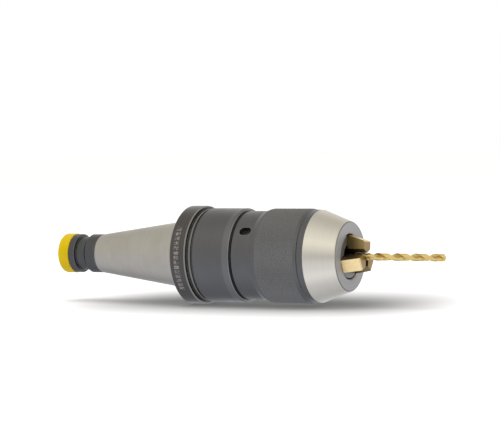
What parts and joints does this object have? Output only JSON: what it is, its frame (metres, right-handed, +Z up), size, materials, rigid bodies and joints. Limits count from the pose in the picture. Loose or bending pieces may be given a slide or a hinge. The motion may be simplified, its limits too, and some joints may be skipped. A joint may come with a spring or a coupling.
{
  "type": "keyless drill chuck",
  "caption": "Self-tightening keyless drill chuck on a flanged steep-taper shank, with knurled sleeve, bright conical hood, gold coated jaws holding a twist drill, and yellow end cap.",
  "frame": {"origin": "centre of the taper's gauge plane, on the chuck axis", "axes": "+X along the chuck axis towards the nose, +Z up"},
  "size_m": [0.2731, 0.063, 0.063],
  "materials": {
    "ground_steel": "ground taper, black oxide flange",
    "yellow_vinyl": "soft dipped vinyl",
    "dark_steel": "black oxide, satin",
    "black_screw": "black oxide",
    "black_rubber": "matt",
    "race_steel": "ground and lapped",
    "brass": "turned",
    "bright_steel": "ground",
    "inner_steel": "hardened and ground",
    "gold_coating": "titanium nitride coated"
  },
  "bodies": {
    "shank": {"taper_shank": "ground_steel", "body_ring": "dark_steel", "ring_set_screw": "black_screw", "dust_seal": "black_rubber", "thrust_nut": "dark_steel", "nut_lock_screws": "black_screw", "front_race": "race_steel"},
    "cage": {"ball_cage": "brass", "thrust_balls": "race_steel"},
    "sleeve": {"knurled_sleeve": "dark_steel", "sleeve_bush": "brass", "rear_race": "race_steel", "hood_ring": "dark_steel", "hood": "bright_steel", "hood_seal": "black_rubber"},
    "guide": {"jaw_guide": "inner_steel", "feed_screw": "inner_steel", "lock_pin": "race_steel"},
    "jaw_1": {"jaw_a": "gold_coating"},
    "jaw_2": {"jaw_b": "gold_coating"},
    "jaw_3": {"jaw_c": "gold_coating"},
    "drill": {"twist_drill": "gold_coating"},
    "cap": {"end_cap": "yellow_vinyl"}
  },
  "joints": [
    {"name": "sleeve_spin", "type": "hinge", "parent": "shank", "child": "sleeve", "pos_m": [0, 0, 0], "axis": [1, 0, 0], "range_deg": [0, 1640]},
    {"name": "cage_spin", "type": "hinge", "parent": "shank", "child": "cage", "pos_m": [0, 0, 0], "axis": [1, 0, 0], "range_deg": [0, 821]},
    {"name": "guide_travel", "type": "slide", "parent": "sleeve", "child": "guide", "axis": [-1, 0, 0], "range_m": [0, 0.01824]},
    {"name": "jaw_1_travel", "type": "slide", "parent": "sleeve", "child": "jaw_1", "axis": [-0.9563, 0.0255, 0.2913], "range_m": [0, 0.01908]},
    {"name": "jaw_2_travel", "type": "slide", "parent": "sleeve", "child": "jaw_2", "axis": [-0.9563, -0.265, -0.1236], "range_m": [0, 0.01908]},
    {"name": "jaw_3_travel", "type": "slide", "parent": "sleeve", "child": "jaw_3", "axis": [-0.9563, 0.2395, -0.1677], "range_m": [0, 0.01908]},
    {"name": "drill_slide", "type": "slide", "parent": "sleeve", "child": "drill", "axis": [1, 0, 0], "range_m": [0, 0.09]},
    {"name": "cap_pull", "type": "slide", "parent": "shank", "child": "cap", "axis": [-1, 0, 0], "range_m": [0, 0.06]}
  ],
  "couplings": [
    {"joint": "cage_spin", "follows": "sleeve_spin", "ratio": 0.5},
    {"joint": "guide_travel", "follows": "sleeve_spin", "m_per_rad": 0.00063662},
    {"joint": "jaw_1_travel", "follows": "sleeve_spin", "m_per_rad": 0.00066571},
    {"joint": "jaw_2_travel", "follows": "sleeve_spin", "m_per_rad": 0.00066571},
    {"joint": "jaw_3_travel", "follows": "sleeve_spin", "m_per_rad": 0.00066571}
  ]
}
